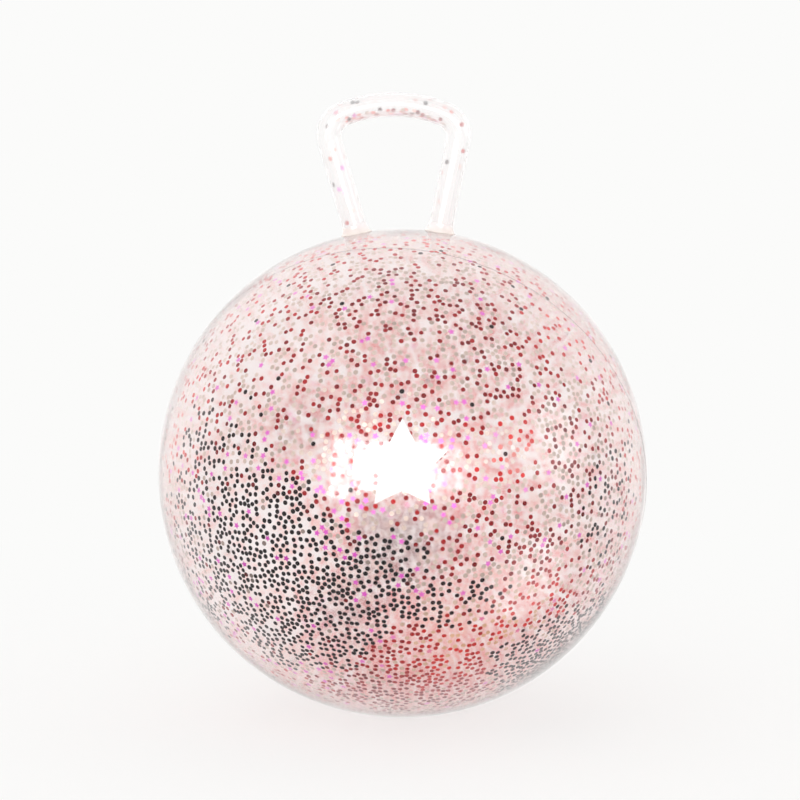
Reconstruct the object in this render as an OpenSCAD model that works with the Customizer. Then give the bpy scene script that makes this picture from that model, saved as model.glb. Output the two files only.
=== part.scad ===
// Hopper ball: an inflated clear ball with a hollow hand loop, a star on the front, a valve at
// the back and loose flakes inside. The ball stands at its centre of contact with the floor,
// with +Z up and the star facing -Y.

/* [Ball] */
// Outside diameter of the inflated ball
ball_d = 450; // [380:5:600]
// Thickness of the moulded skin
skin_wall = 1.2; // [1:0.1:2.5]
// Radius of the flat patch that the ball's weight presses onto the floor
patch_r = 25; // [15:1:40]

/* [Hand loop] */
// Outside width of the hand loop at its widest
loop_w = 140; // [125:1:165]
// Height of the hand loop above the crown of the ball
loop_h = 124; // [105:1:150]
// Outside diameter of the loop's tube
tube_d = 22; // [18:0.5:26]
// How much thicker the tube is in the middle of each upper corner
corner_swell = 1; // [0:0.5:4]
// Wall thickness of the loop's tube
tube_wall = 2; // [1.5:0.1:3]
// Distance between the middles of the two legs where they meet the ball
root_gap = 76; // [66:1:90]
// Bend radius of the two upper corners, on the tube's middle line
corner_r = 21; // [16:1:26]
// Bend radius of the arched grip, on the tube's middle line
grip_r = 125; // [105:5:300]
// Sideways place of the two roots on the crown, from the ball's axis
root_shift = -4; // [-8:1:8]
// Sideways place of the grip, from the ball's axis
grip_shift = -8; // [-12:1:12]

/* [Root cuffs] */
// Height of the flared cuff along the leg
cuff_h = 8; // [6:0.5:12]
// Width that the cuff spreads out at the ball
cuff_flare = 3; // [2:0.5:6]
// Thickness of the cuff's upper edge
cuff_lip = 0.6; // [0.4:0.1:1]

/* [Star] */
// Diameter of the circle through the star's five tips
star_d = 80; // [50:1:110]
// Diameter of the circle through the star's five notches, as a share of the outer one
star_notch_share = 0.52; // [0.4:0.01:0.65]
// Thickness of the star on the skin
star_t = 0.15; // [0.1:0.05:0.3]
// Angle of the star's middle above the ball's equator
star_lift = 10; // [0:1:30]

/* [Valve] */
// Diameter of the seat's neck, which fills the hole in the skin
neck_d = 16; // [15:0.5:22]
// Length of the seat's neck from the outside of the ball inwards
neck_l = 14; // [12:0.5:20]
// Diameter of the seat's flange, welded to the inside of the skin
flange_d = 32; // [26:1:40]
// Thickness of the flange at its rim
flange_t = 1.5; // [1:0.1:3]
// Gap that the weld fills between the seat and the skin
weld_gap = 0.1; // [0.05:0.05:0.3]
// Diameter of the bore that holds the plug's stem
bore_d = 7.5; // [6:0.1:9]
// Diameter of the recess that holds the plug's head
recess_d = 12.6; // [11:0.1:13.5]
// Depth of the recess below the outside of the ball
recess_h = 2.5; // [2:0.1:4]
// Gap all round between the stem and the bore
stem_gap = 0.05; // [0.02:0.01:0.1]
// Gap all round between the head and the recess
head_gap = 0.3; // [0.2:0.05:0.5]
// Length of the chamfer at the tip of the stem
tip_l = 1; // [0.5:0.1:2]
// Width of the fingernail notch in the plug's head
notch_w = 3; // [2:0.5:4]
// Depth of the fingernail notch from the rim of the head
notch_h = 1.2; // [0.8:0.1:1.8]

/* [Flakes] */
// Diameter of a round flake
dot_d = 4; // [3:0.5:6]
// Diameter of the circle through a star flake's tips
small_star_d = 7; // [5:0.5:9]
// Thickness of a flake
flake_t = 0.1; // [0.05:0.05:0.2]
// Gap between a flake and the inside of the skin
flake_gap = 0.4; // [0.2:0.05:0.6]
// Number of places for flakes, spread over the whole inside
flake_places = 240; // [60:10:400]

/* [Hidden] */
$fn = 96;
// The ball is so much larger than what it cuts that it needs finer steps
ball_fn = 360;

// One overrun serves every cut
overrun = 6;

// Steps of the loop's tube, round it and along its bends
tube_sides = 24;
corner_steps = 10;
grip_steps = 6;

// Ball
ball_r = ball_d / 2;
inner_r = ball_r - skin_wall;
centre_z = sqrt(pow(ball_r, 2) - pow(patch_r, 2));

// Hand loop, laid out in its own plane: x to the right and y upwards
bore_of_tube = tube_d - 2 * tube_wall;
left_root_x = root_shift - root_gap / 2;
right_root_x = root_shift + root_gap / 2;
function crown_at(x) = centre_z + sqrt(pow(ball_r, 2) - pow(x, 2));
left_root = [left_root_x, crown_at(left_root_x)];
right_root = [right_root_x, crown_at(right_root_x)];
corner_half = loop_w / 2 - tube_d / 2 - corner_r;
grip_middle_y = centre_z + ball_r + loop_h - tube_d / 2 - grip_r;
corner_y = grip_middle_y + sqrt(pow(grip_r - corner_r, 2) - pow(corner_half, 2));
grip_half_angle = asin(corner_half / (grip_r - corner_r));
left_corner = [grip_shift - corner_half, corner_y];
right_corner = [grip_shift + corner_half, corner_y];

// Angle by which a leg leans outwards, so that it runs into its corner without a kink
function lean(root, corner, side) =
    asin(corner_r / norm(corner - root)) + atan2(side * (corner[0] - root[0]), corner[1] - root[1]);
left_lean = lean(left_root, left_corner, -1);
right_lean = lean(right_root, right_corner, 1);

// Middle line of the loop, from the left root round to the right one. Each stop is a point, the
// angle of the loop's outward side there, and how much thicker the tube is, which rises to the
// swell in the middle of a bend and falls again.
function arc_stops(middle, radius, start, end, steps, first, swell) = [
    for (i = [first:steps]) let (angle = start + (end - start) * i / steps)
        [middle + radius * [cos(angle), sin(angle)], angle, swell * sin(180 * i / steps)]
];
stops = concat(
    [[left_root, 180 + left_lean, 0]],
    arc_stops(left_corner, corner_r, 180 + left_lean, 90 + grip_half_angle, corner_steps, 0,
        corner_swell),
    arc_stops([grip_shift, grip_middle_y], grip_r, 90 + grip_half_angle, 90 - grip_half_angle,
        grip_steps, 1, 0),
    arc_stops(right_corner, corner_r, 90 - grip_half_angle, -right_lean, corner_steps, 1,
        corner_swell),
    [[right_root, -right_lean, 0]]
);
last_stop = len(stops) - 1;

// How far a point moves up a leg to lie on the ball, where up is the leg's direction
function rise_to_ball(point, up) = let (from_centre = point - [0, 0, centre_z], along = from_centre * up)
    sqrt(pow(along, 2) - from_centre * from_centre + pow(ball_r, 2)) - along;

// One ring of points round a stop. The first and the last ring follow the ball's surface.
function ring_points(i, radius) = let (stop = stops[i][0], angle = stops[i][1],
    up = (i == 0 ? 1 : -1) * [sin(angle), 0, -cos(angle)])
    [
        for (j = [0:tube_sides - 1]) let (
            turn = 360 * j / tube_sides,
            swollen = radius + stops[i][2] / 2,
            out = swollen * cos(turn),
            point = [stop[0] + out * cos(angle), swollen * sin(turn), stop[1] + out * sin(angle)]
        )
        i == 0 || i == last_stop ? point + rise_to_ball(point, up) * up : point
    ];

// Cuff: the radius of its hollow flare follows from its height and its spread
flare_r = (pow(cuff_h, 2) + pow(cuff_flare, 2)) / (2 * cuff_flare);

// Valve: places along its axis, counted from the ball's centre
weld_r = inner_r - weld_gap;
flange_seat = sqrt(pow(weld_r, 2) - pow(flange_d / 2, 2));
recess_floor = ball_r - recess_h;
neck_end = ball_r - neck_l;
stem_d = bore_d - 2 * stem_gap;
head_d = recess_d - 2 * head_gap;
head_seat = recess_floor + head_gap;

// Flakes: a spiral that covers a sphere evenly, and the kind that each place in turn holds
golden_angle = 180 * (3 - sqrt(5));
KINDS = ["red", "silver", "red", "dark", "red", "star", "dark"];
lie_r = inner_r - flake_gap - flake_t;
flake_keep = small_star_d / 2 + flake_gap;
function height_share(i) = 1 - (2 * i + 1) / flake_places;
function place(i) = let (h = height_share(i), w = sqrt(1 - pow(h, 2)), turn = i * golden_angle)
    lie_r * [w * cos(turn), w * sin(turn), h];
function root_on_ball(root) = [root[0], 0, root[1] - centre_z];
function is_free(p) =
    norm([p[0], p[1]]) > (p[2] < 0 ? patch_r + flake_keep : 0)
    && norm(p - root_on_ball(left_root)) > tube_d / 2 + flake_keep
    && norm(p - root_on_ball(right_root)) > tube_d / 2 + flake_keep
    && norm(p - [0, inner_r, 0]) > flange_d / 2 + flake_keep;

module at_centre() {
    translate([0, 0, centre_z]) children();
}

module ball(radius = ball_r) {
    sphere(r = radius, $fn = ball_fn);
}

// Everything above a level
module above(level) {
    translate([-ball_d, -ball_d, level]) cube(2 * ball_d);
}

// Sets a shape at a root of the loop, with +Z along the leg
module at_root(root, lean_angle) {
    translate([root[0], 0, root[1]]) rotate([0, lean_angle, 0]) children();
}

// Turns +Z to the valve's axis, which runs straight back through the ball's centre
module along_valve() {
    at_centre() rotate([-90, 0, 0]) children();
}

module star_outline(across) {
    polygon([
        for (i = [0:9])
            (i % 2 == 0 ? 1 : star_notch_share) * across / 2 * [sin(36 * i), cos(36 * i)]
    ]);
}

module root_bore(root, lean_angle) {
    at_root(root, lean_angle) cylinder(h = 2 * overrun, d = bore_of_tube, center = true);
}

module cuff_outline() {
    difference() {
        translate([tube_d / 2, -overrun]) square([cuff_lip + cuff_flare, overrun + cuff_h]);
        translate([tube_d / 2 + cuff_lip + flare_r, cuff_h]) circle(r = flare_r);
    }
}

module root_cuff(root, lean_angle) {
    difference() {
        at_root(root, lean_angle) rotate_extrude() cuff_outline();
        at_centre() ball();
    }
}

module flakes(kind) {
    for (i = [0:flake_places - 1])
        if (KINDS[i % len(KINDS)] == kind && is_free(place(i)))
            at_centre() rotate([0, acos(height_share(i)), i * golden_angle])
                translate([0, 0, lie_r]) linear_extrude(flake_t) children();
}

// Hollow skin, flat where it stands, open into the loop's two legs and around the valve
module ball_skin() {
    color("#f3dcdc") difference() {
        intersection() {
            at_centre() ball();
            above(0);
        }
        intersection() {
            at_centre() ball(inner_r);
            above(skin_wall);
        }
        root_bore(left_root, -left_lean);
        root_bore(right_root, right_lean);
        along_valve() translate([0, 0, neck_end])
            cylinder(h = neck_l + overrun, d = neck_d + 2 * weld_gap);
    }
}

// Hollow loop of two legs, two corners and an arched grip, standing on the skin
module handle_loop() {
    count = len(stops) * tube_sides;
    points = [
        for (radius = [tube_d / 2, bore_of_tube / 2], i = [0:last_stop]) each ring_points(i, radius)
    ];
    // Two triangles join sides j and j + 1 of two rings, which start at points a and b
    function strip(a, b) = [
        for (j = [0:tube_sides - 1]) let (k = (j + 1) % tube_sides)
            each [[a + j, a + k, b + k], [a + j, b + k, b + j]]
    ];
    faces = concat(
        [for (i = [0:last_stop - 1]) each strip(i * tube_sides, (i + 1) * tube_sides)],
        [for (i = [0:last_stop - 1]) each strip(count + (i + 1) * tube_sides, count + i * tube_sides)],
        strip(count, 0),
        strip(last_stop * tube_sides, count + last_stop * tube_sides)
    );
    color("#fbf7f5") polyhedron(points, faces, convexity = 4);
}

module left_root_cuff() {
    color("#f5e3d8") root_cuff(left_root, -left_lean);
}

module right_root_cuff() {
    color("#f5e3d8") root_cuff(right_root, right_lean);
}

// Thin bare star that follows the front of the ball
module star_label() {
    color("white") at_centre() rotate([90 - star_lift, 0, 0]) intersection() {
        linear_extrude(ball_d) star_outline(star_d);
        difference() {
            ball(ball_r + star_t);
            ball();
        }
    }
}

// Boss welded inside the skin, with a bore for the stem and a recess for the head
module valve_seat() {
    color("#efe6e2") along_valve() difference() {
        union() {
            intersection() {
                translate([0, 0, neck_end]) cylinder(h = neck_l + overrun, d = neck_d);
                ball();
            }
            intersection() {
                translate([0, 0, flange_seat - flange_t]) cylinder(h = flange_t + overrun, d = flange_d);
                ball(weld_r);
            }
        }
        cylinder(h = ball_d, d = bore_d);
        translate([0, 0, recess_floor]) cylinder(h = recess_h + overrun, d = recess_d);
    }
}

// Push-in stopper with a flush head, a chamfered stem and a notch for a fingernail
module valve_plug() {
    color("white") along_valve() difference() {
        intersection() {
            union() {
                translate([0, 0, neck_end]) cylinder(h = tip_l, d1 = stem_d - 2 * tip_l, d2 = stem_d);
                translate([0, 0, neck_end + tip_l])
                    cylinder(h = head_seat - neck_end - tip_l, d = stem_d);
                translate([0, 0, head_seat]) cylinder(h = recess_h, d = head_d);
            }
            ball();
        }
        translate([-notch_w / 2, head_d / 2 - notch_h, 0]) cube([notch_w, notch_h + overrun, ball_d]);
    }
}

module red_dots() {
    color("#a31c2c") flakes("red") circle(d = dot_d);
}

module silver_dots() {
    color("#c9c9cd") flakes("silver") circle(d = dot_d);
}

module dark_dots() {
    color("#2a2426") flakes("dark") circle(d = dot_d);
}

module magenta_stars() {
    color("#ea7fe6") flakes("star") star_outline(small_star_d);
}

ball_skin();
handle_loop();
left_root_cuff();
right_root_cuff();
star_label();
valve_seat();
valve_plug();
red_dots();
silver_dots();
dark_dots();
magenta_stars();
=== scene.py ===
# %% [markdown]
# # A clear hopper ball, full of flakes
#
# The real toy is an inflated ball of clear soft PVC with a hollow hand loop on its crown.
# Thousands of small foil flakes cling to its inside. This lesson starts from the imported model,
# which holds the exact sizes, and dresses it: a glassy skin, a milky loop, foil flakes and a white
# studio.

# %% Load the frame
import math

import bpy
from mathutils import Matrix, Vector


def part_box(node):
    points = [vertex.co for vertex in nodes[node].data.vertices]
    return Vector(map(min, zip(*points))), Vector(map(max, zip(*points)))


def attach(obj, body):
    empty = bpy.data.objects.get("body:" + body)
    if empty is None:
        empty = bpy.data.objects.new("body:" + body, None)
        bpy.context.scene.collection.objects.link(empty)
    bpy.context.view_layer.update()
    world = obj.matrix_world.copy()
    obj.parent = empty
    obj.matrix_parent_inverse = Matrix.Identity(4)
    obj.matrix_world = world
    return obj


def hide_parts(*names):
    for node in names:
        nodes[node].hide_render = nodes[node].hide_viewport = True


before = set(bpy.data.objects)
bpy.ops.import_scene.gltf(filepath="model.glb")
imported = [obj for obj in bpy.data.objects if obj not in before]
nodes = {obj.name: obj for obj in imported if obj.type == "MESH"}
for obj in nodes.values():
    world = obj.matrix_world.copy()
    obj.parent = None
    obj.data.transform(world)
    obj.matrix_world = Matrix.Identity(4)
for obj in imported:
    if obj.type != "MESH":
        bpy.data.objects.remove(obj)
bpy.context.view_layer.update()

print("CAD nodes:", sorted(nodes))

# %% [markdown]
# ## Sizes
#
# The visual pieces repeat the model's own sizes, in metres, so that they land on the same places.
# The ball stands on a small flat patch, and its centre is a little less than one radius up.

# %% Sizes of the ball and its loop
MM = 0.001
BALL_R = 225 * MM
SKIN_WALL = 1.2 * MM
PATCH_R = 25 * MM
CENTRE = Vector((0, 0, math.sqrt(BALL_R ** 2 - PATCH_R ** 2)))
INNER_R = BALL_R - SKIN_WALL

TUBE_R = 11 * MM
TUBE_WALL = 2 * MM
LOOP_W = 140 * MM
LOOP_H = 124 * MM
ROOT_GAP = 76 * MM
CORNER_R = 21 * MM
CORNER_SWELL = 1 * MM
GRIP_R = 125 * MM
ROOT_SHIFT = -4 * MM
GRIP_SHIFT = -8 * MM

skin_low, skin_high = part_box("ball_skin")
print("ball in the model, mm:", round((skin_high[0] - skin_low[0]) / MM, 1), "across")

# %% [markdown]
# ## Helpers
#
# One helper adds a node, sets it up and links it, in a shader and in Geometry Nodes alike. Where a
# node has several sockets of one name, they are picked by number. Another helper turns the hex
# colours of a paint chart into the linear numbers that Blender's sockets take. The others make
# common nodes, objects, meshes, circles of points, and named values that nodes can read.

# %% Helpers
def add_node(tree, kind, inputs=None, **settings):
    """Adds a node, sets its properties, and fills or links its inputs."""
    node = tree.nodes.new(kind)
    for name, value in settings.items():
        setattr(node, name, value)
    for key, value in (inputs or {}).items():
        if isinstance(value, bpy.types.NodeSocket):
            tree.links.new(value, node.inputs[key])
        else:
            node.inputs[key].default_value = value
    return node


def calculate(tree, operation, *values):
    """The result of a Math node."""
    node = add_node(tree, "ShaderNodeMath", dict(enumerate(values)), operation=operation)
    return node.outputs[0]


def mix_colours(tree, share, first, second, blend="MIX"):
    """The result of a Mix node for colours."""
    node = add_node(tree, "ShaderNodeMix", {0: share, 6: first, 7: second},
                    data_type="RGBA", blend_type=blend)
    return node.outputs[2]


def mix_shaders(tree, share, first, second):
    """The result of a Mix Shader node."""
    return add_node(tree, "ShaderNodeMixShader", {"Fac": share, 1: first, 2: second}).outputs[0]


def noise(tree, size_mm, detail):
    """A noise that stays put on its piece, with blotches of about this size."""
    place = add_node(tree, "ShaderNodeTexCoord")
    node = add_node(tree, "ShaderNodeTexNoise", {
        "Vector": place.outputs["Object"], "Scale": 1 / (size_mm * MM), "Detail": detail})
    return node.outputs["Fac"]


def bump(tree, pattern, height_mm):
    """The shading normal of a surface on which this pattern stands up."""
    node = add_node(tree, "ShaderNodeBump", {
        "Height": pattern, "Strength": 1.0, "Distance": height_mm * MM})
    return node.outputs["Normal"]


def linear(hex_colour):
    """The linear RGBA of an sRGB hex colour."""
    parts = [int(hex_colour[i:i + 2], 16) / 255 for i in (1, 3, 5)]
    return [c / 12.92 if c <= 0.04045 else ((c + 0.055) / 1.055) ** 2.4 for c in parts] + [1.0]


def new_material(name):
    """An empty material and its node tree."""
    material = bpy.data.materials.new(name)
    material.use_nodes = True
    material.node_tree.nodes.clear()
    return material, material.node_tree


def finish_material(tree, surface):
    """Links a surface to the material's output."""
    add_node(tree, "ShaderNodeOutputMaterial", {"Surface": surface})


def new_object(name, data):
    """An object with this data, linked into the scene."""
    made = bpy.data.objects.new(name, data)
    bpy.context.scene.collection.objects.link(made)
    return made


def new_piece(name, mesh, body):
    """Puts a finished mesh into the scene, on a body."""
    piece = new_object(name, mesh)
    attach(piece, body)
    return piece


def mesh_from(name, points, faces):
    """A mesh with these points and faces."""
    mesh = bpy.data.meshes.new(name)
    mesh.from_pydata([tuple(p) for p in points], [], faces)
    mesh.update()
    return mesh


def modified_mesh(piece):
    """What an object's modifiers make of it, as a new mesh; the modifiers are then taken off."""
    found = piece.evaluated_get(bpy.context.evaluated_depsgraph_get())
    mesh = bpy.data.meshes.new_from_object(found)
    piece.modifiers.clear()
    return mesh


def circle(radius, count):
    """Points round a circle, as pairs."""
    turns = [math.tau * j / count for j in range(count)]
    return [(radius * math.cos(turn), radius * math.sin(turn)) for turn in turns]


def strip(a, b, sides):
    """Faces between two rings of points, which start at the numbers a and b."""
    return [(a + j, a + (j + 1) % sides, b + (j + 1) % sides, b + j) for j in range(sides)]


def store_values(mesh, name, values, domain="POINT"):
    """Stores one number for each point or face of a mesh, under a name that nodes can read."""
    mesh.attributes.new(name, "FLOAT", domain).data.foreach_set("value", values)


print("helpers for nodes, materials, objects and meshes are ready")

# %% [markdown]
# ## Camera
#
# The photo looks slightly down on the ball from about two and a half metres, through a long lens.
# The camera is aimed above the ball's centre, because the ball hangs low in the picture. The frame
# is 800 pixels square, so one pixel is worth the sensor's width divided by 800.

# %% Camera
CAMERA_RISE = math.radians(8.5)
CAMERA_DISTANCE = 2.5
SENSOR = 36.0
FRAME_PIXELS = 800
LENS_PIXELS = 2705.6
BALL_PIXEL = (402.5, 472.5)
TO_CAMERA = Vector((0, -math.cos(CAMERA_RISE), math.sin(CAMERA_RISE)))

camera_data = bpy.data.cameras.new("camera")
camera_data.sensor_width = SENSOR
camera_data.lens = LENS_PIXELS * SENSOR / FRAME_PIXELS
camera = new_object("camera", camera_data)
bpy.context.scene.camera = camera

rise = CAMERA_RISE - math.atan((BALL_PIXEL[1] - FRAME_PIXELS / 2) / LENS_PIXELS)
aside = math.atan((BALL_PIXEL[0] - FRAME_PIXELS / 2) / LENS_PIXELS)
camera.location = CENTRE + CAMERA_DISTANCE * TO_CAMERA
camera.rotation_euler = (math.radians(90) - rise, 0, aside)
print("lens, mm:", round(camera_data.lens, 1))

# %% [markdown]
# ## Clear soft PVC
#
# The skin is plasticised PVC, moulded and then blown up. It is glass-clear with a faint milkiness,
# glossy on both faces, and never quite even, so reflections in it wobble a little. A glass-like
# Principled shader gives the double reflection and the bright rim that a clear shell shows. Lamps
# have to reach the flakes behind it, so rays that only carry light pass straight through.

# %% Clear PVC materials
PLASTIC_IOR = 1.5
WOBBLE_DETAIL = 2.0


def clear_pvc(name, tint, clarity, haze, wobble_mm, height_mm):
    """Soft PVC: tint is its colour in the thickness, clarity the share of light that passes."""
    material, tree = new_material(name)
    pvc = add_node(tree, "ShaderNodeBsdfPrincipled", {
        "Base Color": linear(tint), "Roughness": haze, "IOR": PLASTIC_IOR,
        "Transmission Weight": clarity,
        "Normal": bump(tree, noise(tree, wobble_mm, WOBBLE_DETAIL), height_mm)})
    straight = add_node(tree, "ShaderNodeBsdfTransparent", {"Color": linear(tint)})
    ray = add_node(tree, "ShaderNodeLightPath").outputs
    carries_light = calculate(tree, "MAXIMUM", ray["Is Shadow Ray"], ray["Is Diffuse Ray"])
    finish_material(tree, mix_shaders(tree, carries_light, pvc.outputs[0], straight.outputs[0]))
    return material


skin_pvc = clear_pvc("clear PVC, blown", "#fffbfb", clarity=1.0, haze=0.08,
                     wobble_mm=70, height_mm=0.5)
loop_pvc = clear_pvc("milky PVC, blown thick", "#ffffff", clarity=0.74, haze=0.06,
                     wobble_mm=30, height_mm=0.1)
print("materials:", skin_pvc.name, "and", loop_pvc.name)

# %% [markdown]
# ## The skin
#
# A blown skin is a sphere inside a sphere, flat where it stands. It could be a subdivided cube or a
# globe of rings. Rings are used, because their poles hide under the loop and on the foot, and both
# walls can share them, so that the shell refracts evenly. The holes for the loop's legs and the
# valve's neck are cut with booleans, and the shading normals are then set from the sphere itself.

# %% Skin mesh
ROUND_STEPS = 192
TALL_STEPS = 110


def globe(radius, floor_level):
    """Rings of a sphere from its flat foot to its crown, with faces that point outwards."""
    foot_r = math.sqrt(radius ** 2 - (CENTRE.z - floor_level) ** 2)
    start = math.asin(foot_r / radius)
    points = [Vector((0, 0, floor_level))]
    for i in range(TALL_STEPS):
        turn = start + (math.pi - start) * i / TALL_STEPS
        ring_r, level = radius * math.sin(turn), CENTRE.z - radius * math.cos(turn)
        points += [Vector((x, y, level)) for x, y in circle(ring_r, ROUND_STEPS)]
    points.append(CENTRE + Vector((0, 0, radius)))
    last = len(points) - 1
    faces = []
    for j in range(ROUND_STEPS):
        k = (j + 1) % ROUND_STEPS
        faces.append((0, 1 + k, 1 + j))
        top = 1 + (TALL_STEPS - 1) * ROUND_STEPS
        faces.append((last, top + j, top + k))
        for i in range(TALL_STEPS - 1):
            a, b = 1 + i * ROUND_STEPS, 1 + (i + 1) * ROUND_STEPS
            faces.append((a + j, a + k, b + k, b + j))
    return points, faces


outer_points, outer_faces = globe(BALL_R, 0)
inner_points, inner_faces = globe(INNER_R, SKIN_WALL)
shift = len(outer_points)
skin_mesh = mesh_from("ball_skin_glass", outer_points + inner_points,
                      outer_faces + [tuple(i + shift for i in reversed(f)) for f in inner_faces])
print("skin:", len(skin_mesh.polygons), "faces")

# %% [markdown]
# ## Path of the hand loop
#
# The loop is one tube: two legs that lean outwards, two tight corners and an arched grip. Its
# middle line is worked out from the same sizes as in the model. It is a list of stops, each with a
# position, the direction of the loop's outer side and how much the tube swells there.

# %% Middle line of the loop
CORNER_STEPS = 28
GRIP_STEPS = 24
LEG_STEPS = 24


def crown_at(x):
    """Height of the ball's crown at this distance from the middle."""
    return CENTRE.z + math.sqrt(BALL_R ** 2 - x ** 2)


def arc(middle, radius, start, end, steps, swell=0.0):
    """Stops along an arc in the loop's plane, with the angle of the outer side and the swelling."""
    stops = []
    for i in range(steps + 1):
        angle = start + (end - start) * i / steps
        spot = Vector((middle[0] + radius * math.cos(angle), 0,
                       middle[1] + radius * math.sin(angle)))
        stops.append((spot, angle, swell * math.sin(math.pi * i / steps)))
    return stops


corner_half = LOOP_W / 2 - TUBE_R - CORNER_R
grip_middle = (GRIP_SHIFT, CENTRE.z + BALL_R + LOOP_H - TUBE_R - GRIP_R)
corner_level = grip_middle[1] + math.sqrt((GRIP_R - CORNER_R) ** 2 - corner_half ** 2)
grip_half_angle = math.asin(corner_half / (GRIP_R - CORNER_R))
roots, corners, leans, leg_ways = {}, {}, {}, {}
for side_name, side in (("left", -1), ("right", 1)):
    root_x = ROOT_SHIFT + side * ROOT_GAP / 2
    roots[side_name] = Vector((root_x, 0, crown_at(root_x)))
    corners[side_name] = Vector((GRIP_SHIFT + side * corner_half, 0, corner_level))
    reach = corners[side_name] - roots[side_name]
    lean = math.asin(CORNER_R / reach.length) + math.atan2(side * reach.x, reach.z)
    leans[side_name] = lean
    leg_ways[side_name] = Vector((side * math.sin(lean), 0, math.cos(lean)))

UP = math.radians(90)
left_out, right_out = 2 * UP + leans["left"], -leans["right"]
left_stops = arc((corners["left"].x, corner_level), CORNER_R, left_out,
                 UP + grip_half_angle, CORNER_STEPS, CORNER_SWELL)
grip_stops = arc(grip_middle, GRIP_R, UP + grip_half_angle, UP - grip_half_angle, GRIP_STEPS)
right_stops = arc((corners["right"].x, corner_level), CORNER_R, UP - grip_half_angle,
                  right_out, CORNER_STEPS, CORNER_SWELL)


def leg(start, end, angle):
    """Stops along a straight leg, without its two ends."""
    return [(start.lerp(end, i / LEG_STEPS), angle, 0.0) for i in range(1, LEG_STEPS)]


loop_stops = (
    [(roots["left"], left_out, 0.0)]
    + leg(roots["left"], left_stops[0][0], left_out)
    + left_stops + grip_stops[1:] + right_stops[1:]
    + leg(right_stops[-1][0], roots["right"], right_out)
    + [(roots["right"], right_out, 0.0)]
)
print("leans, degrees:", {k: round(math.degrees(v), 1) for k, v in leans.items()})

# %% [markdown]
# ## The hand loop
#
# A curve with a round bevel would give one skin and no wall. The loop is a real pipe, so its outer
# and its inner wall are swept along the same stops and joined at the two ends. The end rings lie on
# the ball, a hair above it, because two clear faces at the same place would fight.

# %% Loop mesh
TUBE_SIDES = 48
GLASS_GAP = 0.05 * MM


def rise_to_ball(point, way):
    """How far a point moves along a unit vector to lie a hair above the ball."""
    from_centre = point - CENTRE
    along = from_centre.dot(way)
    radius = BALL_R + GLASS_GAP
    return math.sqrt(along ** 2 - from_centre.length_squared + radius ** 2) - along


def tube_ring(index, radius):
    """One ring of the tube round a stop; the first and the last follow the ball."""
    spot, angle, swell = loop_stops[index]
    side = Vector((math.cos(angle), 0, math.sin(angle)))
    up = Vector((math.sin(angle), 0, -math.cos(angle))) * (1 if index == 0 else -1)
    is_end = index in (0, len(loop_stops) - 1)
    ring = []
    for j in range(TUBE_SIDES):
        turn = math.tau * j / TUBE_SIDES
        full = radius + swell / 2
        point = spot + side * full * math.cos(turn) + Vector((0, full * math.sin(turn), 0))
        if is_end:
            point += up * rise_to_ball(point, up)
        ring.append(point)
    return ring


def pipe_faces(rings):
    """Faces of a pipe: its outer wall, its inner wall, and the two rims that join them."""
    inner = rings * TUBE_SIDES
    last = inner - TUBE_SIDES
    faces = []
    for a in range(0, last, TUBE_SIDES):
        b = a + TUBE_SIDES
        faces += strip(b, a, TUBE_SIDES) + strip(inner + a, inner + b, TUBE_SIDES)
    return faces + strip(0, inner, TUBE_SIDES) + strip(inner + last, last, TUBE_SIDES)


ring_count = len(loop_stops)
loop_points = [p for r in (TUBE_R, TUBE_R - TUBE_WALL) for i in range(ring_count)
               for p in tube_ring(i, r)]
loop_mesh = mesh_from("hand_loop", loop_points, pipe_faces(ring_count))
loop_mesh.shade_smooth()
hand_loop = new_piece("hand_loop", loop_mesh, "ball")
hand_loop.data.materials.append(loop_pvc)
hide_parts("handle_loop")
print("loop:", len(loop_mesh.polygons), "faces")

# %% [markdown]
# ## Holes in the skin
#
# The legs open into the ball and the valve's neck goes through it. Three cylinders cut these holes.
# Afterwards every face on a wall takes its shading from the sphere, and every cut edge stays sharp.

# %% Cut the skin and set its normals
HOLE_REACH = 12 * MM
NECK_R = 8.1 * MM
WALL_TOLERANCE = 0.02 * MM
CUTTER_SIDES = 64


def cylinder_between(name, start, end, radius):
    """A closed cylinder mesh from one point to another."""
    along = (end - start).normalized()
    across = along.orthogonal().normalized()
    other = along.cross(across)
    points = [p + across * x + other * y for p in (start, end)
              for x, y in circle(radius, CUTTER_SIDES)]
    ends = [tuple(reversed(range(CUTTER_SIDES))), tuple(range(CUTTER_SIDES, 2 * CUTTER_SIDES))]
    return mesh_from(name, points, strip(0, CUTTER_SIDES, CUTTER_SIDES) + ends)


def cut_out(piece, cutters):
    """Cuts closed meshes out of a piece."""
    tools = [new_object(cutter.name, cutter) for cutter in cutters]
    for tool in tools:
        cut = piece.modifiers.new(tool.name, "BOOLEAN")
        cut.object, cut.operation, cut.solver = tool, "DIFFERENCE", "EXACT"
    piece.data = modified_mesh(piece)
    for tool in tools:
        bpy.data.objects.remove(tool)


def sphere_normals(mesh):
    """Takes the shading of every face on a wall from the sphere, and keeps the others flat."""
    walls = [(BALL_R, 1), (INNER_R, -1)]  # radius, and whether its shading points out or in
    distances = [(v.co - CENTRE).length for v in mesh.vertices]
    normals = [None] * len(mesh.loops)
    for face in mesh.polygons:
        out = 0
        for radius, way in walls:
            if all(abs(distances[v] - radius) < WALL_TOLERANCE for v in face.vertices):
                out = way
        for corner in face.loop_indices:
            point = mesh.vertices[mesh.loops[corner].vertex_index].co
            normal = out * (point - CENTRE).normalized() if out else face.normal
            normals[corner] = tuple(normal)
    mesh.shade_smooth()
    mesh.normals_split_custom_set(normals)


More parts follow.
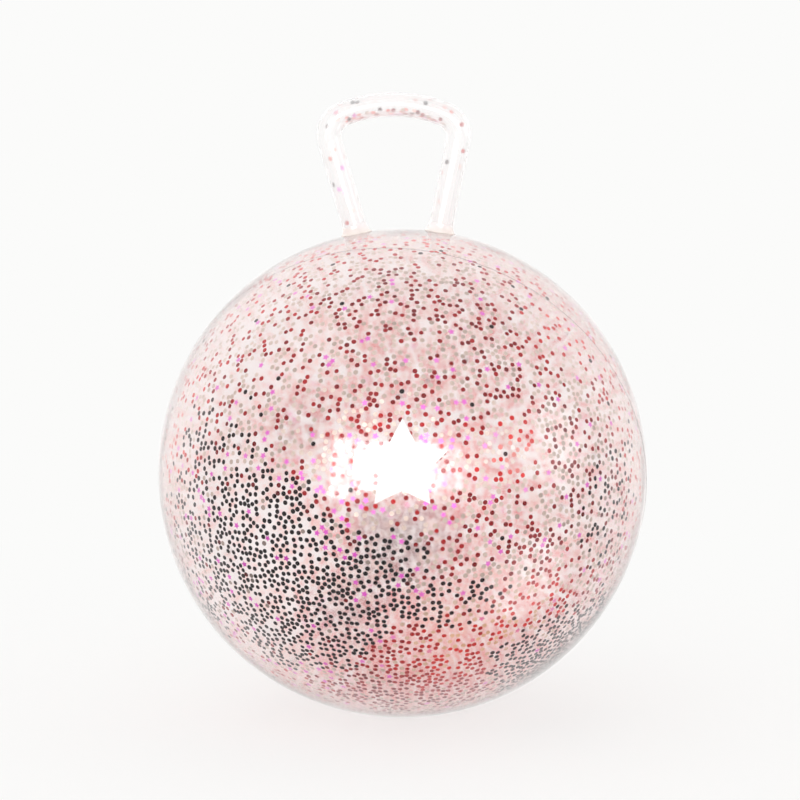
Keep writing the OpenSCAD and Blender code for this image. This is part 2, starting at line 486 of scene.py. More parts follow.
ball_glass = new_object("ball_skin_glass", skin_mesh)
cutters = []
for side_name, way in leg_ways.items():
    root = roots[side_name]
    cutters.append(cylinder_between(f"leg_hole_{side_name}", root - way * HOLE_REACH,
                                    root + way * HOLE_REACH, TUBE_R - TUBE_WALL))
valve_way = Vector((0, 1, 0))
cutters.append(cylinder_between("neck_hole", CENTRE + valve_way * (BALL_R - HOLE_REACH),
                                CENTRE + valve_way * (BALL_R + HOLE_REACH), NECK_R))
cut_out(ball_glass, cutters)
sphere_normals(ball_glass.data)
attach(ball_glass, "ball")
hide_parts("ball_skin")
ball_glass.data.materials.clear()
ball_glass.data.materials.append(skin_pvc)
print("skin after its holes:", len(ball_glass.data.polygons), "faces")

# %% [markdown]
# ## Where the flakes lie
#
# Loose flakes cling to the inside of the skin in drifts: where a handful landed, one colour
# dominates. The dark kind is painted dark reflection: its drifts lie where foil would mirror
# something dark, and there the flakes are drawn near-black. The drifts are named here by the
# direction they lie in, seen from the ball's centre, as an angle to the right of the front and an
# angle above the equator. Each kind has a base share everywhere and some drifts on top. Three more
# lists say how much of the skin is covered, where the foil has painted reflection, from dark to
# pale, and where it has painted warm light that gives it a golden cast. Nothing lies on the valve's
# flange or over the two openings into the loop.

# %% Drifts of flakes
def direction(right, above):
    """Unit vector from the ball's centre, from angles in degrees."""
    a, h = math.radians(right), math.radians(above)
    return Vector((math.sin(a) * math.cos(h), -math.cos(a) * math.cos(h), math.sin(h)))


# Each drift: degrees right, degrees above, radius in degrees where it has faded out, strength
DRIFTS = {
    "red": (0.38, [(38, -22, 24, 0.3), (12, -34, 22, 0.6), (3, -46, 26, 3.0), (7, 48, 16, 0.5),
                   (-1, 25, 12, 0.3), (76, -46, 18, 1.2), (180, 8, 84, 0.9),
                   (-179, -25, 26, 1.0), (160, -52, 42, 5.0)]),
    "silver": (0.60, []),
    # The dark kind is painted dark reflection: near-black flakes where foil would mirror the dark
    "dark": (0.01, [(-32, -8, 18, 40), (-20, -18, 16, 40), (-22, -28, 15, 40), (-44, -16, 14, 30),
                    (-36, -33, 12, 30), (-54, -10, 14, 3), (-4, -14, 12, 9), (-4, -22, 9, 20),
                    (9, -22, 8, 10), (18, -21, 7, 5),
                    (37, -40, 10, 30), (54, -43, 14, 40), (46, -32, 8, 10), (60, -34, 11, 20),
                    (66, -32, 10, 16), (54, -4, 16, 0.6), (60, 8, 12, 0.3), (-48, 9, 20, 1.2),
                    (-66, -26, 14, 2.5), (-60, -2, 16, 0.8), (76, -46, 16, 8)]),
    "star": (0.04, [(-30, -16, 42, 0.9), (12, 14, 26, 0.18), (-2, -17, 13, 0.6),
                    (54, -43, 14, 0.8)]),
}
# How much of the skin is covered; a drift below nought thins it
COVER = (0.74, [(-32, -14, 34, 0.24), (50, -42, 20, 0.4), (74, -46, 20, 0.4),
                (180, 5, 110, 0.06), (0, -15, 16, 0.22),
                (-179, -25, 24, 0.3), (-152, -44, 22, 0.25), (-147, 5, 20, 0.22),
                (-92, 12, 26, -0.3), (94, 12, 26, -0.3),
                (160, -55, 42, 0.34), (3, -46, 24, 0.2), (-125, -27, 42, -0.55),
                (-127, 30, 44, -0.55), (180, 72, 42, -0.5), (-64, 42, 42, -0.15),
                (64, 42, 30, -0.2), (122, 5, 36, -0.22)])

# Spots that stay bare: the middle of each, and how far around it no flake lies
BARE_SPOTS = [(CENTRE + INNER_R * valve_way, 24 * MM),
              (roots["left"], 17 * MM), (roots["right"], 17 * MM)]

# Painted reflection: below a half the foil is painted dark, above a half it is painted pale
PAINTED_REFLECTION = (0.46, [(180, 78, 50, 0.6), (-66, 44, 42, 0.2), (-71, 10, 26, 0.36), (62, 41, 30, 0.28),
                (80, 5, 34, 0.34), (15, -36, 24, 0.24), (38, -24, 20, 0.22), (-60, -55, 34, 0.2),
                (52, 0, 16, -0.14), (25, 12, 13, 0.42), (-14, 9, 9, 0.25), (-30, -14, 26, -0.3),
                (-4, -13, 14, -0.25), (54, -43, 16, -0.2), (74, -46, 20, -0.2),
                (-179, -25, 26, -0.4), (-152, -44, 22, -0.35), (-147, 5, 20, -0.3),
                (160, -48, 34, 0.1), (-125, -27, 46, 0.5), (-127, 30, 46, 0.6), (122, 5, 38, 0.1),
                (-92, 12, 26, 0.2), (94, 12, 26, 0.2)])
# Painted warm light: where silver foil is given a golden cast, as if a warm glow fell on it
PAINTED_WARM_GLOW = (0.12, [(12, -33, 22, 0.8), (32, -28, 18, 0.6), (160, -48, 38, 0.6)])


def drift_sum(settings, towards):
    """Base share plus every drift that reaches this direction."""
    base, drifts = settings
    total = base
    for right, above, reach, strength in drifts:
        gap = math.degrees(towards.angle(direction(right, above)))
        fade = min(max(1 - gap / reach, 0.0), 1.0)
        total += strength * fade * fade * (3 - 2 * fade)
    return max(total, 0.0)


def is_bare(point):
    """Whether a point of the flake bed lies at one of the bare spots."""
    return any((point - spot).length < reach for spot, reach in BARE_SPOTS)


FLAKE_GAP = 0.35 * MM
LIE_R = INNER_R - FLAKE_GAP
bed_points, bed_faces = globe(LIE_R, SKIN_WALL + FLAKE_GAP)
bed_mesh = mesh_from("flake_bed", bed_points, bed_faces)
for kind, settings in (*DRIFTS.items(), ("cover", COVER), ("shine", PAINTED_REFLECTION), ("warmth", PAINTED_WARM_GLOW)):
    values = [drift_sum(settings, p - CENTRE) for p in bed_points]
    if kind == "cover":
        values = [0.0 if is_bare(p) else value for p, value in zip(bed_points, values)]
    store_values(bed_mesh, kind, values)
bed = new_object("flake_bed", bed_mesh)
print("flake bed:", len(bed_mesh.polygons), "faces")

# %% [markdown]
# ## Foil flakes
#
# The flakes are punched from metallised polyester film: red, silver and magenta; the near-black
# film is painted dark reflection. Foil is a metal layer under clear film, so its tone follows what
# it faces, and here that is painted reflection in its colour: a drift painted as facing the dark
# goes nearly black, and one painted as facing the light goes pale. Every flake carries that painted
# reflection as a number, with a little chance in it, and each film runs through its tones by it.
# The side of a flake that faces the ball's middle has painted light: it is drawn paler and pinker,
# as if lit through the whole ball. Where painted warm light lies, a golden tint is multiplied in.

# %% Foil materials
# Tint of the painted warm glow
WARM_GLOW_TINT = "#f4cba2"
# Painted light on the face towards the ball's middle: how much paler it is drawn, and its tint
INNER_PAINTED_LIGHT = 0.3
INNER_PAINTED_TINT = "#ffdcd5"
FILM_ROUGHNESS = 0.35


def metallised_film(name, tones, metallic, gloss):
    """Punched film; tones are hex colours from dark to pale painted reflection."""
    material, tree = new_material(name)
    tone, inner, warmth = (
        add_node(tree, "ShaderNodeAttribute", attribute_name=value).outputs["Fac"]
        for value in ("tone", "inner", "warmth"))
    # Painted light: the face towards the ball's middle is drawn paler
    painted_light_level = calculate(tree, "MULTIPLY_ADD", inner, INNER_PAINTED_LIGHT, tone)
    ramp = add_node(tree, "ShaderNodeValToRGB", {"Fac": painted_light_level})
    stops = ramp.color_ramp.elements
    for i, colour in enumerate(tones):
        stop = stops[i] if i < 2 else stops.new(1.0)
        stop.position = i / (len(tones) - 1)
        stop.color = linear(colour)
    # Painted warm glow: a golden tint multiplied in where it lies
    warm_lit_colour = mix_colours(tree, warmth, ramp.outputs["Color"], linear(WARM_GLOW_TINT), "MULTIPLY")
    # Painted light: the face towards the ball's middle is tinted pink
    inner_lit_colour = mix_colours(tree, inner, warm_lit_colour, linear(INNER_PAINTED_TINT), "MULTIPLY")
    film = add_node(tree, "ShaderNodeBsdfPrincipled", {
        "Base Color": inner_lit_colour, "Metallic": metallic, "Roughness": FILM_ROUGHNESS,
        "Specular IOR Level": gloss})
    finish_material(tree, film.outputs[0])
    return material


FOILS = {
    "red": metallised_film("red polyester film, metallised",
                           ["#050303", "#4c0509", "#920d16", "#e63a38", "#fadbd7"],
                           metallic=0.3, gloss=0.05),
    "silver": metallised_film("silver polyester film, metallised",
                              ["#0e0c0c", "#80766f", "#d2c7bd", "#f2e9e3", "#ffffff"],
                              metallic=0.3, gloss=0.3),
    # Painted dark reflection: foil drawn near-black, in place of foil that mirrors the dark
    "dark": metallised_film("dark polyester film, metallised",
                            ["#070202", "#0c0304", "#190608", "#3a1c22", "#6b5658"],
                            metallic=0.2, gloss=0.0),
    "star": metallised_film("magenta polyester film, metallised",
                            ["#b32aa6", "#d94bcb", "#ea82e0", "#f5b4ef", "#fbe0f9"],
                            metallic=0.2, gloss=0.3),
}
print("foils:", [m.name for m in FOILS.values()])

# %% [markdown]
# ## One flake of each shape
#
# A flake is a punched disc or a punched star. Thousands are needed, so each has only a few faces:
# an eight-sided disc already looks round at this size.

# %% Flake meshes
DOT_R = 2.2 * MM
DOT_SIDES = 8
STAR_R = 3.2 * MM
STAR_CORNERS = 10
STAR_NOTCH = 0.5
FLAKE_T = 0.1 * MM


def prism(name, outline):
    """A thin closed plate with this outline, its top face on the plane z = 0."""
    count = len(outline)
    points = [Vector((x, y, z)) for z in (-FLAKE_T, 0) for x, y in outline]
    faces = [tuple(reversed(range(count))), tuple(range(count, 2 * count))]
    faces += strip(0, count, count)
    mesh = mesh_from(name, points, faces)
    # The face that ends up towards the ball's middle, which gets painted light
    store_values(mesh, "inner", [1.0] + [0.0] * (len(faces) - 1), "FACE")
    return new_object(name, mesh)


dot = prism("round_flake", circle(DOT_R, DOT_SIDES))
star_outline = []
for j, (x, y) in enumerate(circle(STAR_R, STAR_CORNERS)):
    reach = 1 if j % 2 == 0 else STAR_NOTCH
    star_outline.append((-reach * y, reach * x))
star = prism("star_flake", star_outline)
for flake in (dot, star):
    print(flake.name, "triangles:", sum(len(face.vertices) - 2 for face in flake.data.polygons))

# %% [markdown]
# ## Scattering
#
# Geometry Nodes scatter the flakes over the inside of the skin. Poisson disk sampling keeps any two
# middles about a flake's width apart, as foil that has slid into place lies. Every kind runs the
# same tree with the same seed, so all share one set of places, and one random number per place
# decides which kind lies there. That way one place never gets two flakes.

# %% The scattering tree
KIND_ORDER = ["red", "silver", "dark", "star"]
FLAKE_STEP = 4.3 * MM
FLAKE_DENSITY = 180000.0
FLAKE_SEED = 7
FLAKE_TILT = math.radians(6)
SMALLEST, LARGEST = 0.92, 1.04  # how a flake's size varies
TONE_LUCK = 0.09  # how far chance moves a flake's tone
# Seeds of the random numbers that decide each flake's kind, tilt, spin, size and tone
KIND_SEED, TILT_SEED, SPIN_SEED, SIZE_SEED, TONE_SEED = 11, 23, 37, 41, 53


def flake_tree():
    """Builds the scattering tree and returns it."""
    tree = bpy.data.node_groups.new("scatter_flakes", "GeometryNodeTree")
    sockets = tree.interface
    sockets.new_socket("Geometry", in_out="INPUT", socket_type="NodeSocketGeometry")
    for name, kind in (("Flake", "Object"), ("Film", "Material"), ("Kind", "Int"),
                       ("Halves", "Bool"), ("Back half", "Bool"), ("Spacing", "Float"),
                       ("Density", "Float"), ("Seed", "Int"), ("Tilt", "Float")):
        sockets.new_socket(name, in_out="INPUT", socket_type=f"NodeSocket{kind}")
    sockets.new_socket("Geometry", in_out="OUTPUT", socket_type="NodeSocketGeometry")
    given = add_node(tree, "NodeGroupInput").outputs

    def attribute(name):
        """A value that the bed carries."""
        return add_node(tree, "GeometryNodeInputNamedAttribute", {"Name": name},
                        data_type="FLOAT").outputs["Attribute"]

    def random(low, high, seed):
        """A random number for each flake."""
        return add_node(tree, "FunctionNodeRandomValue", {2: low, 3: high, "Seed": seed},
                        data_type="FLOAT").outputs[1]

    spread = add_node(tree, "GeometryNodeDistributePointsOnFaces", {
        "Mesh": given["Geometry"], "Distance Min": given["Spacing"],
        "Density Max": given["Density"], "Density Factor": attribute("cover"),
        "Seed": given["Seed"]}, distribute_method="POISSON")
    # A random number falls into one kind's share of the whole
    shares = [attribute(kind) for kind in KIND_ORDER]
    totals = [shares[0]]
    for share in shares[1:]:
        totals.append(calculate(tree, "ADD", totals[-1], share))
    draw = calculate(tree, "MULTIPLY", random(0.0, 1.0, KIND_SEED), totals[-1])
    passed = None
    for total in totals[:-1]:
        over = calculate(tree, "GREATER_THAN", draw, total)
        passed = over if passed is None else calculate(tree, "ADD", passed, over)
    is_kind = add_node(tree, "FunctionNodeCompare", {2: passed, 3: given["Kind"]},
                       data_type="INT", operation="EQUAL").outputs[0]
    place = add_node(tree, "GeometryNodeInputPosition").outputs[0]
    depth = add_node(tree, "ShaderNodeSeparateXYZ", {0: place}).outputs["Y"]
    behind = add_node(tree, "FunctionNodeCompare", {0: depth, 1: 0.0},
                      data_type="FLOAT", operation="GREATER_THAN").outputs[0]
    wrong_half = add_node(tree, "FunctionNodeBooleanMath", {0: behind, 1: given["Back half"]},
                          operation="XOR").outputs[0]
    left_out = add_node(tree, "FunctionNodeBooleanMath", {0: wrong_half, 1: given["Halves"]},
                        operation="AND").outputs[0]
    chosen = add_node(tree, "FunctionNodeBooleanMath", {0: is_kind, 1: left_out},
                      operation="NIMPLY").outputs[0]
    # Each flake lies on the skin, spun at random and tilted a little inwards
    flat = add_node(tree, "FunctionNodeAlignRotationToVector", {
        "Vector": spread.outputs["Normal"]}, axis="Z").outputs[0]
    tilt = calculate(tree, "MULTIPLY", random(0.0, 1.0, TILT_SEED), given["Tilt"])
    spin = add_node(tree, "ShaderNodeCombineXYZ", {
        "X": tilt, "Z": random(0.0, math.tau, SPIN_SEED)}).outputs[0]
    turned = add_node(tree, "FunctionNodeRotateRotation", {"Rotation": flat, "Rotate By": spin},
                      rotation_space="LOCAL").outputs[0]
    flake = add_node(tree, "GeometryNodeObjectInfo", {"Object": given["Flake"]}).outputs["Geometry"]
    laid = add_node(tree, "GeometryNodeInstanceOnPoints", {
        "Points": spread.outputs["Points"], "Selection": chosen, "Instance": flake,
        "Rotation": turned, "Scale": random(SMALLEST, LARGEST, SIZE_SEED)}).outputs[0]
    # A flake's colour level: painted reflection from its drifts, plus a little chance
    luck = random(-TONE_LUCK, TONE_LUCK, TONE_SEED)
    for name, value in (("tone", calculate(tree, "ADD", attribute("shine"), luck)),
                        ("warmth", attribute("warmth"))):
        laid = add_node(tree, "GeometryNodeStoreNamedAttribute", {
            "Geometry": laid, "Name": name, "Value": value},
            data_type="FLOAT", domain="INSTANCE").outputs[0]
    real = add_node(tree, "GeometryNodeRealizeInstances", {"Geometry": laid}).outputs[0]
    dressed = add_node(tree, "GeometryNodeSetMaterial", {
        "Geometry": real, "Material": given["Film"]}).outputs[0]
    add_node(tree, "NodeGroupOutput", {"Geometry": dressed})
    return tree


scatter = flake_tree()
socket_ids = {s.name: s.identifier for s in scatter.interface.items_tree
              if s.item_type == "SOCKET" and s.in_out == "INPUT"}
print("inputs of the tree:", socket_ids)

# %% [markdown]
# ## The flakes on the ball
#
# The tree runs once for each kind and half of the ball, and each result becomes a plain mesh. The
# halves keep every mesh light enough.

# %% Lay the flakes
FLAKE_JOBS = {
    "red_dots": ("red", dot, "red_foil"),
    "silver_dots": ("silver", dot, "silver_foil"),
    # The dark dots carry painted dark reflection
    "dark_dots": ("dark", dot, "dark_foil"),
    "magenta_stars": ("star", star, "magenta_foil"),
}


def lay_flakes(node_name, where, onto, back_half=None):
    """Runs the tree for one kind and keeps the result as a piece; without a half, it lays all."""
    kind, flake, slot_name = FLAKE_JOBS[node_name]
    name = f"{node_name}_{where}"
    spreader = onto.modifiers.new(name, "NODES")
    spreader.node_group = scatter
    for label, value in (("Flake", flake), ("Film", FOILS[kind]), ("Kind", KIND_ORDER.index(kind)),
                         ("Halves", back_half is not None), ("Back half", bool(back_half)),
                         ("Spacing", FLAKE_STEP), ("Density", FLAKE_DENSITY),
                         ("Seed", FLAKE_SEED), ("Tilt", FLAKE_TILT)):
        spreader[socket_ids[label]] = value
    onto.update_tag()
    mesh = modified_mesh(onto)
    mesh.name = name
    piece = new_piece(name, mesh, "ball")
    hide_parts(node_name)
    print(name, len(mesh.vertices) // len(flake.data.vertices), "flakes")


for node_name in FLAKE_JOBS:
    lay_flakes(node_name, "front", bed, back_half=False)
    lay_flakes(node_name, "back", bed, back_half=True)

# %% [markdown]
# ## Flakes in the hand loop
#
# The loop is open to the ball, so flakes get into it too. They cling to its wall here and there,
# and a row of them has settled along the bottom of the grip. The same tree scatters them over the
# inner wall of the tube, with its own shares.

# %% Lay the flakes in the loop
LOOP_FLAKE_GAP = 0.3 * MM
LOOP_BED_R = TUBE_R - TUBE_WALL - LOOP_FLAKE_GAP
# The settled row: degrees from the top of the grip, and how low in the tube it begins
GRIP_SPAN = 40
SETTLED_BELOW = -0.5
# Each value: on the wall here and there, and in the settled row
LOOP_VALUES = {
    "cover": (0.08, 0.6), "red": (0.32, 0.6), "silver": (0.3, 0.2), "dark": (0.12, 0.06),
    # The last two are painted light: painted reflection on the foil and painted warm glow
    "star": (0.16, 0.14), "shine": (0.62, 0.55), "warmth": (0.0, 0.2),
}

loop_bed_points, settled = [], []
for i in range(ring_count):
    is_grip = abs(math.degrees(loop_stops[i][1]) - 90) < GRIP_SPAN
    loop_bed_points += tube_ring(i, LOOP_BED_R)
    settled += [is_grip and math.cos(math.tau * j / TUBE_SIDES) < SETTLED_BELOW
                for j in range(TUBE_SIDES)]
loop_bed_faces = []
for i in range(ring_count - 1):
    loop_bed_faces += strip((i + 1) * TUBE_SIDES, i * TUBE_SIDES, TUBE_SIDES)
loop_bed_mesh = mesh_from("loop_bed", loop_bed_points, loop_bed_faces)
for kind, pair in LOOP_VALUES.items():
    store_values(loop_bed_mesh, kind, [pair[low] for low in settled])
loop_bed = new_object("loop_bed", loop_bed_mesh)
for node_name in FLAKE_JOBS:
    lay_flakes(node_name, "loop", loop_bed)
for helper in (bed, loop_bed, dot, star):
    bpy.data.objects.remove(helper)

# %% [markdown]
# ## Seam of the mould
#
# A blown ball comes out of a mould of two halves, and a fine raised line shows where they met. It
# is a thin bead swept round a great circle, tipped as in the photo, where it skims the right edge.
# It stands proud there and is trimmed nearly flush on the other side.

# %% Seam
SEAM_W = 0.7 * MM
SEAM_H = 0.18 * MM
SEAM_STEPS = 240
TRIMMED = 0.04
# How far the seam leans over in the picture, and how far its top tips towards the camera
SEAM_LEAN = math.radians(18.0)
SEAM_TIP = math.radians(29.2843)
# The bead's outline: across it and up from the skin, in its widths and heights
PROFILE = [(-0.5, 0.0), (-0.25, 0.8), (0.0, 1.0), (0.25, 0.8), (0.5, 0.0), (0.0, -0.2)]

picture_up = Vector((0, math.sin(CAMERA_RISE), math.cos(CAMERA_RISE)))
picture_right = Vector((1, 0, 0))
seam_side = math.cos(SEAM_LEAN) * picture_right - math.sin(SEAM_LEAN) * picture_up
lean_up = math.sin(SEAM_LEAN) * picture_right + math.cos(SEAM_LEAN) * picture_up
seam_top = math.cos(SEAM_TIP) * lean_up + math.sin(SEAM_TIP) * TO_CAMERA
seam_axis = seam_side.cross(seam_top).normalized()
seam_points = []
for sideways, upwards in circle(1, SEAM_STEPS):
    out = seam_side * sideways + seam_top * upwards
    proud = SEAM_H * (TRIMMED + (1 - TRIMMED) * max(sideways, 0.0) ** 2)
    for across, height in PROFILE:
        seam_points.append(CENTRE + out * (BALL_R + GLASS_GAP + proud * height)
                           + seam_axis * SEAM_W * across)
sides = len(PROFILE)
seam_faces = []
for i in range(SEAM_STEPS):
    here, there = i * sides, (i + 1) % SEAM_STEPS * sides
    seam_faces += [(here + j, there + j, there + (j + 1) % sides, here + (j + 1) % sides)
                   for j in range(sides)]
seam_mesh = mesh_from("mould_seam", seam_points, seam_faces)
seam_mesh.shade_smooth()
mould_seam = new_piece("mould_seam", seam_mesh, "ball")
# The bead is real; its greyer tint is painted shade that darkens the line along it
seam_pvc = clear_pvc("clear PVC, pinched at the seam", "#cfc4c6", clarity=0.8, haze=0.1,
                     wobble_mm=4, height_mm=0.02)
mould_seam.data.materials.append(seam_pvc)
print("seam:", len(seam_mesh.polygons), "faces")

# %% [markdown]
# ## Root cuffs
#
# Where a leg meets the ball the PVC thickens into a soft flare. A flare like this could be a spun
# profile, but its foot has to follow the ball, so each line down its side is cut where it meets the
# ball. The loop's milky white runs down into the peach of the thick plastic at the foot.

# %% Cuffs
CUFF_H = 8 * MM
CUFF_FLARE = 3.2 * MM
CUFF_LIP = 0.15 * MM
CUFF_CURVE = 2.4
CUFF_GAP = 0.03 * MM
CUFF_STEPS = 10
WHITE_LEVEL = 453.5 * MM
PEACH_LEVEL = 445.5 * MM

milky_peach = clear_pvc("milky PVC, thick and peach at the foot", "#ffffff", clarity=0.4,
                        haze=0.06, wobble_mm=12, height_mm=0.05)
tree = milky_peach.node_tree
place = next(n for n in tree.nodes if n.type == "TEX_COORD")
pvc = next(n for n in tree.nodes if n.type == "BSDF_PRINCIPLED")
level = add_node(tree, "ShaderNodeSeparateXYZ", {0: place.outputs["Object"]}).outputs["Z"]
depth = add_node(tree, "ShaderNodeMapRange", {
    "Value": level, "From Min": WHITE_LEVEL, "From Max": PEACH_LEVEL},
    interpolation_type="SMOOTHSTEP")
peach = mix_colours(tree, depth.outputs["Result"], linear("#ffffff"), linear("#fff9f3"))
tree.links.new(peach, pvc.inputs["Base Color"])


def cuff_ring(root, up, down, wall):
    """A ring of points round a leg; down is nought at the cuff's top and one at its foot."""
    across = Vector((up.z, 0, -up.x))
    flare = CUFF_LIP + CUFF_FLARE * down ** CUFF_CURVE
    radius = TUBE_R + (flare if wall == "outer" else CUFF_GAP)
    ring = []
    for x, y in circle(1, TUBE_SIDES):
        beside = root + (across * x + Vector((0, y, 0))) * radius
        foot = beside + up * rise_to_ball(beside, up)
        top = beside + up * CUFF_H
        ring.append(top.lerp(foot, down))
    return ring


for side_name, up in leg_ways.items():
    cuff_points = [p for wall in ("outer", "inner") for i in range(CUFF_STEPS + 1)
                   for p in cuff_ring(roots[side_name], up, i / CUFF_STEPS, wall)]
    cuff_mesh = mesh_from(f"{side_name}_cuff_flare", cuff_points, pipe_faces(CUFF_STEPS + 1))
    cuff_mesh.shade_smooth()
    cuff = new_piece(f"{side_name}_cuff_flare", cuff_mesh, "ball")
    cuff.data.materials.append(milky_peach)
    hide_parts(f"{side_name}_root_cuff")
print("cuffs: 2, each", len(cuff_mesh.polygons), "faces")

# %% [markdown]
# ## Small parts from the model
#
# The star and the valve have the right shapes already, so they keep their CAD meshes and only get
# finishes. The star is a smooth white print, the seat milky PVC and the plug white polyethylene.

# %% Finishes of the small parts
GRAIN_SHADE = 0.96
GRAIN_DETAIL = 3.0
GRAIN_H_MM = 0.01


def moulded_plastic(name, colour, roughness, grain_mm):
    """Opaque moulded plastic with a fine grain from its mould."""
    material, tree = new_material(name)
    grain = noise(tree, grain_mm, GRAIN_DETAIL)
    full = linear(colour)
    darker = [c * GRAIN_SHADE for c in full[:3]] + [1.0]
    plastic = add_node(tree, "ShaderNodeBsdfPrincipled", {
        "Base Color": mix_colours(tree, grain, full, darker), "Roughness": roughness,
        "IOR": PLASTIC_IOR, "Normal": bump(tree, grain, GRAIN_H_MM)})
    finish_material(tree, plastic.outputs[0])
    return material


star_print = moulded_plastic("white print on PVC", "#fbfbfb", roughness=0.3, grain_mm=2.0)
seat_pvc = clear_pvc("milky PVC, injected", "#f6ece8", clarity=0.3, haze=0.2,
                     wobble_mm=10, height_mm=0.05)
plug_plastic = moulded_plastic("white polyethylene, injected", "#f2f1ee", roughness=0.4,
                               grain_mm=1.0)
for node_name, material in (("star_label", star_print), ("valve_seat", seat_pvc),
                            ("valve_plug", plug_plastic)):
    mesh = nodes[node_name].data
    mesh.materials.clear()
    mesh.materials.append(material)
print("finished:", [n for n in nodes if not nodes[n].hide_render])

# %% [markdown]
# ## White studio
#
# The photo is a product shot on white. The world is a plain white to the camera and gives a plain
# level of light to everything else. Through the clear PVC it is a little brighter than white, as an
# overexposed backdrop is.

# %% World
BACKDROP = "#fbfbfa"
PLAIN_LEVEL = 1.05
BACKLIGHT = 1.36

world = bpy.data.worlds.new("white_studio")
world.use_nodes = True
bpy.context.scene.world = world
sky = world.node_tree
sky.nodes.clear()
ray = add_node(sky, "ShaderNodeLightPath").outputs
plain, backdrop, backlight = (
    add_node(sky, "ShaderNodeBackground", {"Color": linear(colour), "Strength": level}).outputs[0]
    for colour, level in (("#ffffff", PLAIN_LEVEL), (BACKDROP, 1.0), ("#ffffff", BACKLIGHT)))
seen = calculate(sky, "MAXIMUM", ray["Is Camera Ray"], ray["Is Glossy Ray"])
unseen = mix_shaders(sky, ray["Is Transmission Ray"], plain, backlight)
add_node(sky, "ShaderNodeOutputWorld", {"Surface": mix_shaders(sky, seen, unseen, backdrop)})
bpy.context.scene.view_settings.view_transform = "Standard"
print("world levels:", PLAIN_LEVEL, "plain and", BACKLIGHT, "through the PVC")

# %% [markdown]
# ## Floor
#
# The floor is a wide pale disc. Close to the ball it is matt and holds the shadow. Further out it
# fades into the white of the world, so no horizon shows.

# %% Floor
FLOOR_R = 30.0
FLOOR_SIDES = 96
FADE_START, FADE_END = 0.15, 1.0
NEAR_GLOW = 0.7
PAPER = "#f2f1f0"

rim = [(x, y, 0) for x, y in circle(FLOOR_R, FLOOR_SIDES)]
floor = new_object("floor", mesh_from("floor", rim, [tuple(range(FLOOR_SIDES))]))
paper, tree = new_material("white studio paper")
place = add_node(tree, "ShaderNodeTexCoord")
reach = add_node(tree, "ShaderNodeVectorMath", {0: place.outputs["Object"]}, operation="LENGTH")
fade = add_node(tree, "ShaderNodeMapRange", {
    "Value": reach.outputs["Value"], "From Min": FADE_START, "From Max": FADE_END,
    "To Min": NEAR_GLOW, "To Max": 1.0}, interpolation_type="SMOOTHSTEP")
ray = add_node(tree, "ShaderNodeLightPath").outputs
seen = calculate(tree, "MAXIMUM", ray["Is Camera Ray"], ray["Is Transmission Ray"])
share = calculate(tree, "MULTIPLY", seen, fade.outputs["Result"])
matt = add_node(tree, "ShaderNodeBsdfDiffuse", {"Color": linear(PAPER)})
glow = add_node(tree, "ShaderNodeEmission", {"Color": linear(BACKDROP), "Strength": 1.0})
finish_material(tree, mix_shaders(tree, share, matt.outputs[0], glow.outputs[0]))
floor.data.materials.append(paper)
floor.visible_glossy = False
print("floor radius, m:", FLOOR_R)

# %% [markdown]
# ## Reflections
#
# What a glossy ball shows is mostly the room. A window of light in three panes stands behind the
# camera, and only reflections can see it. It could be lamps, but cards show clean edges. The edges
# are given as angles from the line between the ball and the camera.

# %% Cards for reflections
PANE_DISTANCE = 4.0
# Each pane: its left, right, lower and upper edges in degrees, and its strength
PANES = [(-32.0, -23.4, -12.5, 13.3, 9.0), (-21.8, 14.0, -8.0, 13.3, 14.0),
         (14.0, 26.5, -7.5, 11.5, 4.5)]


def glow_material(name, colour, strength):
    """A surface that gives off light of one colour and strength."""
    material, tree = new_material(name)
    glow = add_node(tree, "ShaderNodeEmission", {"Color": linear(colour), "Strength": strength})
    finish_material(tree, glow.outputs[0])
    return material


def only_in_reflections(card):
    """Hides a stage mesh from all but the rays that a glossy surface throws back."""
    card.visible_camera = card.visible_diffuse = card.visible_transmission = False
    card.visible_shadow = card.visible_volume_scatter = False


def card_at(name, left, right, low, high, material):
    """A flat card whose edges lie at these angles, in degrees, from the line to the camera."""
    turn = Matrix.Rotation(math.radians((left + right) / 2), 3, "Z")
    back, across = turn @ TO_CAMERA, turn @ Vector((1, 0, 0))
    upwards = back.cross(across)
    half = math.radians((right - left) / 2)
    points = []
    for angle, height in ((-half, low), (half, low), (half, high), (-half, high)):
        points.append(CENTRE + PANE_DISTANCE * (back + across * math.tan(angle)
                                                + upwards * math.tan(math.radians(height))))
    card = new_object(name, mesh_from(name, points, [(0, 1, 2, 3)]))
    card.data.materials.append(material)
    only_in_reflections(card)


for number, (left, right, low, high, strength) in enumerate(PANES):
    glass = glow_material(f"window light {number}", "#ffffff", strength)
    card_at(f"window_pane_{number}", left, right, low, high, glass)
print("window panes:", len(PANES))

# %% [markdown]
# ## Room
#
# The rest of what the gloss shows is a sphere round the set, which only reflections can see. It is
# a mesh with a brightness at each point. It is dim in front, which keeps the foil deep in colour,
# and bright behind the ball, which whitens the rim. Two soft lights stand at the right.

# %% Room seen in the gloss
ROOM_R = 5.0
ROOM_STEPS = 48
DIM_LEVEL = 0.015
OVERHEAD_LEVEL = 0.35
BEHIND_LOW_LEVEL = 0.95
BEHIND_LEVEL = 1.18
SIDE_LEVEL = 2.4
# Where each level fades in, as parts of the unit vector upwards, backwards or towards a light
OVERHEAD_FADE = (0.3, 0.9)
LOW_FADE = (-0.45, -0.12)
BEHIND_FADE = (0.0, 0.45)
SIDE_FADE = (0.93, 0.99)
# Directions of two soft lights at the right
SIDE_GLOWS = [Vector((0.942, -0.258, 0.215)).normalized(),
              Vector((0.749, -0.265, -0.607)).normalized()]


def smooth(low, high, value):
    """Nought at low, one at high, and a smooth rise between them."""
    share = min(max((value - low) / (high - low), 0.0), 1.0)
    return share * share * (3 - 2 * share)


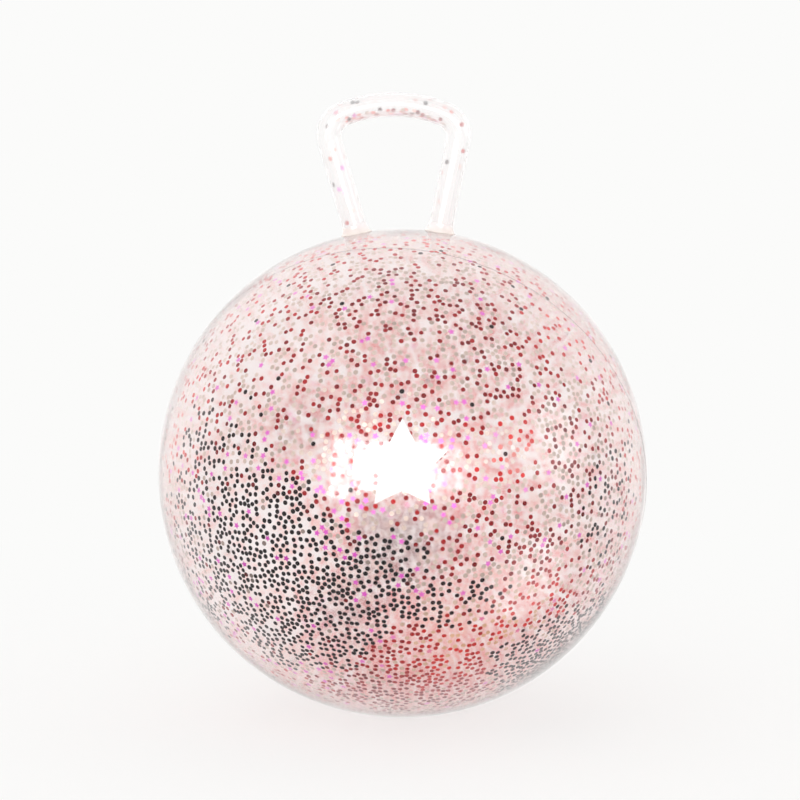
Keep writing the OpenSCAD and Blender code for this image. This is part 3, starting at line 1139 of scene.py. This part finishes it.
def room_level(towards):
    """Dim in front and below, bright overhead and behind the ball, with two lights at the side."""
    overhead = OVERHEAD_LEVEL * smooth(*OVERHEAD_FADE, towards.z)
    rise = (BEHIND_LEVEL - BEHIND_LOW_LEVEL) * smooth(*LOW_FADE, towards.z)
    behind = (BEHIND_LOW_LEVEL + rise) * smooth(*BEHIND_FADE, towards.y)
    side = sum(SIDE_LEVEL * smooth(*SIDE_FADE, towards.dot(glow)) for glow in SIDE_GLOWS)
    return DIM_LEVEL + max(overhead, behind) + side


room_points, room_faces = [CENTRE - Vector((0, 0, ROOM_R))], []
for i in range(1, ROOM_STEPS):
    turn = math.pi * i / ROOM_STEPS
    room_points += [CENTRE + ROOM_R * Vector((x, y, -math.cos(turn)))
                    for x, y in circle(math.sin(turn), ROOM_STEPS)]
room_points.append(CENTRE + Vector((0, 0, ROOM_R)))
for i in range(ROOM_STEPS - 2):
    room_faces += strip(1 + i * ROOM_STEPS, 1 + (i + 1) * ROOM_STEPS, ROOM_STEPS)
last = len(room_points) - 1
for j in range(ROOM_STEPS):
    k = (j + 1) % ROOM_STEPS
    room_faces += [(0, 1 + j, 1 + k), (last, last - ROOM_STEPS + k, last - ROOM_STEPS + j)]
room_mesh = mesh_from("gloss_room", room_points, room_faces)
store_values(room_mesh, "level", [room_level((p - CENTRE).normalized()) for p in room_points])
room = new_object("gloss_room", room_mesh)
room_material, tree = new_material("room seen in the gloss")
level = add_node(tree, "ShaderNodeAttribute", attribute_name="level")
glow = add_node(tree, "ShaderNodeEmission", {
    "Color": linear(BACKDROP), "Strength": level.outputs["Fac"]})
finish_material(tree, glow.outputs[0])
room.data.materials.append(room_material)
only_in_reflections(room)
print("room radius, m:", ROOM_R)

# %% [markdown]
# ## Lamps
#
# One soft key from the front and above gives the loop and the flakes a little direction. The rest
# of the light is the world's.

# %% Key lamp
KEY_SIZE = (1.8, 1.2)
KEY_PLACE = (-0.8, -2.2, 2.4)
KEY_WATTS = 8.0

key_data = bpy.data.lights.new("soft_key", "AREA")
key_data.shape = "RECTANGLE"
key_data.size, key_data.size_y = KEY_SIZE
key_data.energy = KEY_WATTS
key = new_object("soft_key", key_data)
key.location = KEY_PLACE
key.rotation_euler = (CENTRE - key.location).to_track_quat("-Z", "Y").to_euler()
key.visible_camera = key.visible_glossy = key.visible_transmission = False
print("key, W:", key_data.energy)
